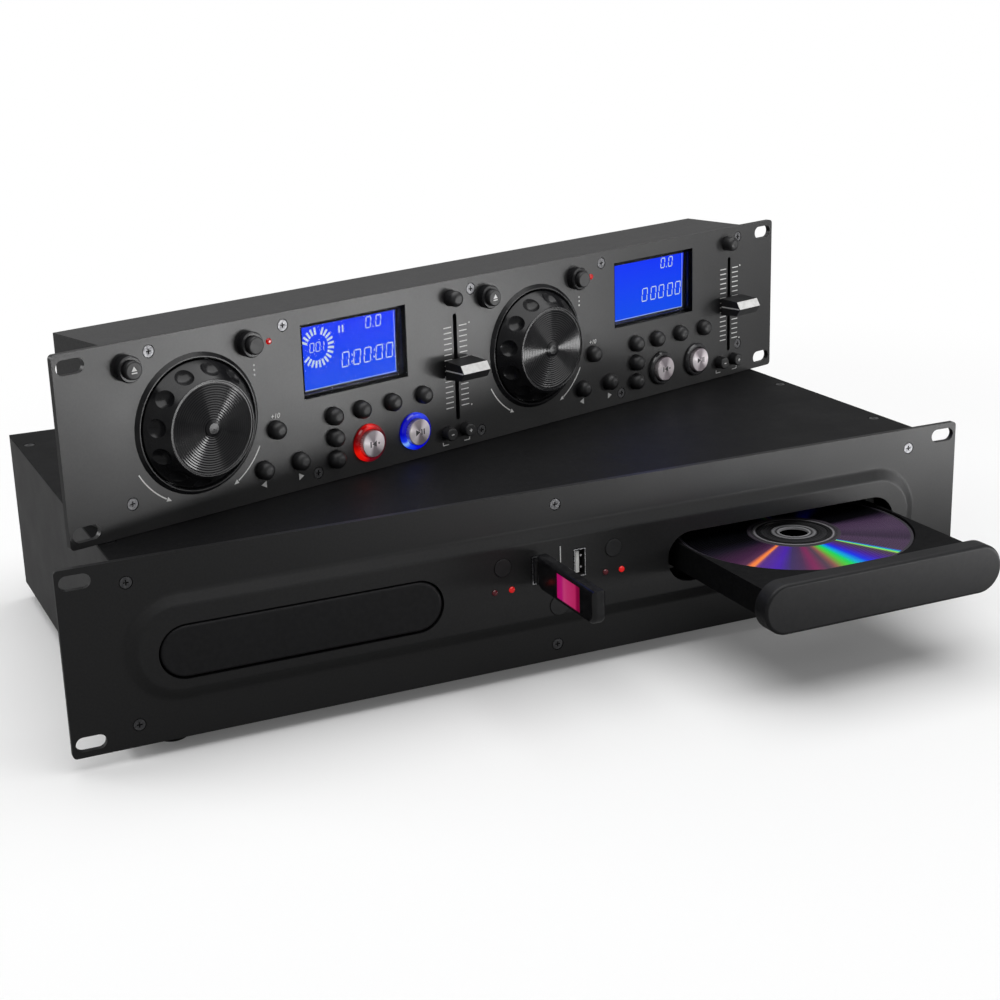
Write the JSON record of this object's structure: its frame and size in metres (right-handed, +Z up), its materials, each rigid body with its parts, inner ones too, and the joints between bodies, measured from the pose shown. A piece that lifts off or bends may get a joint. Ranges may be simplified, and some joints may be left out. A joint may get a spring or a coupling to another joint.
{
  "type": "dual disc player",
  "caption": "Rack disc player for DJs: a transport unit with disc drawers and memory-stick ports, and a control unit with jog wheels, pitch faders and displays standing on its lid.",
  "frame": {"origin": "centre of the transport's four rack slots, on the front face of its panel", "axes": "+X to the user's right along the panel, +Y back into the case, +Z up; the front faces -Y"},
  "size_m": [0.4826, 0.344, 0.1848],
  "materials": {
    "panel_paint": "black satin powder coat",
    "case_paint": "black fine-textured powder coat",
    "inner_plastic": "moulded",
    "board": "solder mask",
    "plated_steel": "bright plating",
    "light_lens": "diffusing lens",
    "rubber": "matt",
    "display_frame": "module with a dark blue screen",
    "display_glass": "clear, glossy",
    "trim_plastic": "glossy",
    "jog_plastic": "glossy rim, fine concentric grooves on the disc",
    "button_plastic": "smooth",
    "metal_cap": "satin, slightly spun",
    "tray_plastic": "moulded, fine texture",
    "disc_foil": "reflective data side with a clear hub",
    "stick_plastic": "smooth"
  },
  "bodies": {
    "transport": {"transport_front_panel": "panel_paint", "transport_chassis": "case_paint", "transport_cover": "case_paint", "loader_decks": "inner_plastic", "circuit_boards": "board", "connector_sockets": "plated_steel", "transport_lights": "light_lens", "feet": "rubber", "transport_screws": "plated_steel"},
    "controller": {"controller_front_panel": "panel_paint", "controller_case": "case_paint", "controller_board": "board", "display_modules": "display_frame", "display_windows": "display_glass", "panel_trim_rings": "trim_plastic", "controller_lights": "light_lens", "controller_screws": "plated_steel"},
    "eject_left": {"eject_left": "button_plastic"},
    "jog_mode_left": {"jog_mode_left": "button_plastic"},
    "plus_ten_left": {"plus_ten_left": "button_plastic"},
    "track_back_left": {"track_back_left": "button_plastic"},
    "track_forward_left": {"track_forward_left": "button_plastic"},
    "time_left": {"time_left": "button_plastic"},
    "single_left": {"single_left": "button_plastic"},
    "program_left": {"program_left": "button_plastic"},
    "loop_in_left": {"loop_in_left": "button_plastic"},
    "loop_out_left": {"loop_out_left": "button_plastic"},
    "reloop_left": {"reloop_left": "button_plastic"},
    "cue_left": {"cue_left": "metal_cap"},
    "play_left": {"play_left": "metal_cap"},
    "pitch_left": {"pitch_left": "button_plastic"},
    "bend_down_left": {"bend_down_left": "button_plastic"},
    "bend_up_left": {"bend_up_left": "button_plastic"},
    "jog_wheel_left": {"jog_wheel_left": "jog_plastic"},
    "pitch_fader_left": {"pitch_fader_left": "button_plastic"},
    "eject_right": {"eject_right": "button_plastic"},
    "jog_mode_right": {"jog_mode_right": "button_plastic"},
    "plus_ten_right": {"plus_ten_right": "button_plastic"},
    "track_back_right": {"track_back_right": "button_plastic"},
    "track_forward_right": {"track_forward_right": "button_plastic"},
    "time_right": {"time_right": "button_plastic"},
    "single_right": {"single_right": "button_plastic"},
    "program_right": {"program_right": "button_plastic"},
    "loop_in_right": {"loop_in_right": "button_plastic"},
    "loop_out_right": {"loop_out_right": "button_plastic"},
    "reloop_right": {"reloop_right": "button_plastic"},
    "cue_right": {"cue_right": "metal_cap"},
    "play_right": {"play_right": "metal_cap"},
    "pitch_right": {"pitch_right": "button_plastic"},
    "bend_down_right": {"bend_down_right": "button_plastic"},
    "bend_up_right": {"bend_up_right": "button_plastic"},
    "jog_wheel_right": {"jog_wheel_right": "jog_plastic"},
    "pitch_fader_right": {"pitch_fader_right": "button_plastic"},
    "source_button_left": {"source_button_left": "button_plastic"},
    "source_button_right": {"source_button_right": "button_plastic"},
    "power_button": {"power_button": "button_plastic"},
    "tray_left": {"tray_left": "tray_plastic"},
    "tray_right": {"tray_right": "tray_plastic"},
    "disc": {"disc": "disc_foil"},
    "usb_stick": {"usb_stick": "stick_plastic"}
  },
  "joints": [
    {"name": "controller_lift", "type": "slide", "parent": "transport", "child": "controller", "axis": [0, 0, 1], "range_m": [0, 0.12]},
    {"name": "eject_left_press", "type": "slide", "parent": "controller", "child": "eject_left", "axis": [-0.2974, 0.9548, 0], "range_m": [0, 0.0008], "stiffness_N_per_m": 600, "springref_m": -0.0005},
    {"name": "jog_mode_left_press", "type": "slide", "parent": "controller", "child": "jog_mode_left", "axis": [-0.2974, 0.9548, 0], "range_m": [0, 0.0008], "stiffness_N_per_m": 600, "springref_m": -0.0005},
    {"name": "plus_ten_left_press", "type": "slide", "parent": "controller", "child": "plus_ten_left", "axis": [-0.2974, 0.9548, 0], "range_m": [0, 0.0008], "stiffness_N_per_m": 600, "springref_m": -0.0005},
    {"name": "track_back_left_press", "type": "slide", "parent": "controller", "child": "track_back_left", "axis": [-0.2974, 0.9548, 0], "range_m": [0, 0.0008], "stiffness_N_per_m": 600, "springref_m": -0.0005},
    {"name": "track_forward_left_press", "type": "slide", "parent": "controller", "child": "track_forward_left", "axis": [-0.2974, 0.9548, 0], "range_m": [0, 0.0008], "stiffness_N_per_m": 600, "springref_m": -0.0005},
    {"name": "time_left_press", "type": "slide", "parent": "controller", "child": "time_left", "axis": [-0.2974, 0.9548, 0], "range_m": [0, 0.0008], "stiffness_N_per_m": 600, "springref_m": -0.0005},
    {"name": "single_left_press", "type": "slide", "parent": "controller", "child": "single_left", "axis": [-0.2974, 0.9548, 0], "range_m": [0, 0.0008], "stiffness_N_per_m": 600, "springref_m": -0.0005},
    {"name": "program_left_press", "type": "slide", "parent": "controller", "child": "program_left", "axis": [-0.2974, 0.9548, 0], "range_m": [0, 0.0008], "stiffness_N_per_m": 600, "springref_m": -0.0005},
    {"name": "loop_in_left_press", "type": "slide", "parent": "controller", "child": "loop_in_left", "axis": [-0.2974, 0.9548, 0], "range_m": [0, 0.0008], "stiffness_N_per_m": 600, "springref_m": -0.0005},
    {"name": "loop_out_left_press", "type": "slide", "parent": "controller", "child": "loop_out_left", "axis": [-0.2974, 0.9548, 0], "range_m": [0, 0.0008], "stiffness_N_per_m": 600, "springref_m": -0.0005},
    {"name": "reloop_left_press", "type": "slide", "parent": "controller", "child": "reloop_left", "axis": [-0.2974, 0.9548, 0], "range_m": [0, 0.0008], "stiffness_N_per_m": 600, "springref_m": -0.0005},
    {"name": "cue_left_press", "type": "slide", "parent": "controller", "child": "cue_left", "axis": [-0.2974, 0.9548, 0], "range_m": [0, 0.0008], "stiffness_N_per_m": 600, "springref_m": -0.0005},
    {"name": "play_left_press", "type": "slide", "parent": "controller", "child": "play_left", "axis": [-0.2974, 0.9548, 0], "range_m": [0, 0.0008], "stiffness_N_per_m": 600, "springref_m": -0.0005},
    {"name": "pitch_left_press", "type": "slide", "parent": "controller", "child": "pitch_left", "axis": [-0.2974, 0.9548, 0], "range_m": [0, 0.0008], "stiffness_N_per_m": 600, "springref_m": -0.0005},
    {"name": "bend_down_left_press", "type": "slide", "parent": "controller", "child": "bend_down_left", "axis": [-0.2974, 0.9548, 0], "range_m": [0, 0.0008], "stiffness_N_per_m": 600, "springref_m": -0.0005},
    {"name": "bend_up_left_press", "type": "slide", "parent": "controller", "child": "bend_up_left", "axis": [-0.2974, 0.9548, 0], "range_m": [0, 0.0008], "stiffness_N_per_m": 600, "springref_m": -0.0005},
    {"name": "jog_wheel_left_turn", "type": "hinge", "parent": "controller", "child": "jog_wheel_left", "pos_m": [-0.16098, 0.04454, 0.08905], "axis": [0.2974, -0.9548, 0], "continuous": true},
    {"name": "pitch_fader_left_slide", "type": "slide", "parent": "controller", "child": "pitch_fader_left", "axis": [0, 0, 1], "range_m": [-0.0213, 0.0213]},
    {"name": "eject_right_press", "type": "slide", "parent": "controller", "child": "eject_right", "axis": [-0.2974, 0.9548, 0], "range_m": [0, 0.0008], "stiffness_N_per_m": 600, "springref_m": -0.0005},
    {"name": "jog_mode_right_press", "type": "slide", "parent": "controller", "child": "jog_mode_right", "axis": [-0.2974, 0.9548, 0], "range_m": [0, 0.0008], "stiffness_N_per_m": 600, "springref_m": -0.0005},
    {"name": "plus_ten_right_press", "type": "slide", "parent": "controller", "child": "plus_ten_right", "axis": [-0.2974, 0.9548, 0], "range_m": [0, 0.0008], "stiffness_N_per_m": 600, "springref_m": -0.0005},
    {"name": "track_back_right_press", "type": "slide", "parent": "controller", "child": "track_back_right", "axis": [-0.2974, 0.9548, 0], "range_m": [0, 0.0008], "stiffness_N_per_m": 600, "springref_m": -0.0005},
    {"name": "track_forward_right_press", "type": "slide", "parent": "controller", "child": "track_forward_right", "axis": [-0.2974, 0.9548, 0], "range_m": [0, 0.0008], "stiffness_N_per_m": 600, "springref_m": -0.0005},
    {"name": "time_right_press", "type": "slide", "parent": "controller", "child": "time_right", "axis": [-0.2974, 0.9548, 0], "range_m": [0, 0.0008], "stiffness_N_per_m": 600, "springref_m": -0.0005},
    {"name": "single_right_press", "type": "slide", "parent": "controller", "child": "single_right", "axis": [-0.2974, 0.9548, 0], "range_m": [0, 0.0008], "stiffness_N_per_m": 600, "springref_m": -0.0005},
    {"name": "program_right_press", "type": "slide", "parent": "controller", "child": "program_right", "axis": [-0.2974, 0.9548, 0], "range_m": [0, 0.0008], "stiffness_N_per_m": 600, "springref_m": -0.0005},
    {"name": "loop_in_right_press", "type": "slide", "parent": "controller", "child": "loop_in_right", "axis": [-0.2974, 0.9548, 0], "range_m": [0, 0.0008], "stiffness_N_per_m": 600, "springref_m": -0.0005},
    {"name": "loop_out_right_press", "type": "slide", "parent": "controller", "child": "loop_out_right", "axis": [-0.2974, 0.9548, 0], "range_m": [0, 0.0008], "stiffness_N_per_m": 600, "springref_m": -0.0005},
    {"name": "reloop_right_press", "type": "slide", "parent": "controller", "child": "reloop_right", "axis": [-0.2974, 0.9548, 0], "range_m": [0, 0.0008], "stiffness_N_per_m": 600, "springref_m": -0.0005},
    {"name": "cue_right_press", "type": "slide", "parent": "controller", "child": "cue_right", "axis": [-0.2974, 0.9548, 0], "range_m": [0, 0.0008], "stiffness_N_per_m": 600, "springref_m": -0.0005},
    {"name": "play_right_press", "type": "slide", "parent": "controller", "child": "play_right", "axis": [-0.2974, 0.9548, 0], "range_m": [0, 0.0008], "stiffness_N_per_m": 600, "springref_m": -0.0005},
    {"name": "pitch_right_press", "type": "slide", "parent": "controller", "child": "pitch_right", "axis": [-0.2974, 0.9548, 0], "range_m": [0, 0.0008], "stiffness_N_per_m": 600, "springref_m": -0.0005},
    {"name": "bend_down_right_press", "type": "slide", "parent": "controller", "child": "bend_down_right", "axis": [-0.2974, 0.9548, 0], "range_m": [0, 0.0008], "stiffness_N_per_m": 600, "springref_m": -0.0005},
    {"name": "bend_up_right_press", "type": "slide", "parent": "controller", "child": "bend_up_right", "axis": [-0.2974, 0.9548, 0], "range_m": [0, 0.0008], "stiffness_N_per_m": 600, "springref_m": -0.0005},
    {"name": "jog_wheel_right_turn", "type": "hinge", "parent": "controller", "child": "jog_wheel_right", "pos_m": [0.0443, 0.10847, 0.08905], "axis": [0.2974, -0.9548, 0], "continuous": true},
    {"name": "pitch_fader_right_slide", "type": "slide", "parent": "controller", "child": "pitch_fader_right", "axis": [0, 0, 1], "range_m": [-0.0213, 0.0213]},
    {"name": "source_button_left_press", "type": "slide", "parent": "transport", "child": "source_button_left", "axis": [0, 1, 0], "range_m": [0, 0.0008], "stiffness_N_per_m": 600, "springref_m": -0.0005},
    {"name": "source_button_right_press", "type": "slide", "parent": "transport", "child": "source_button_right", "axis": [0, 1, 0], "range_m": [0, 0.0008], "stiffness_N_per_m": 600, "springref_m": -0.0005},
    {"name": "power_button_press", "type": "slide", "parent": "transport", "child": "power_button", "axis": [0, 1, 0], "range_m": [0, 0.0015], "stiffness_N_per_m": 600, "springref_m": -0.0005},
    {"name": "tray_left_slide", "type": "slide", "parent": "transport", "child": "tray_left", "axis": [0, -1, 0], "range_m": [0, 0.088]},
    {"name": "tray_right_slide", "type": "slide", "parent": "transport", "child": "tray_right", "axis": [0, 1, 0], "range_m": [0, 0.088]},
    {"name": "disc_spin", "type": "hinge", "parent": "tray_right", "child": "disc", "pos_m": [0.1305, -0.012, 0.0028], "axis": [0, 0, 1], "continuous": true},
    {"name": "usb_stick_pull", "type": "slide", "parent": "transport", "child": "usb_stick", "axis": [0, -1, 0], "range_m": [0, 0.02]}
  ]
}
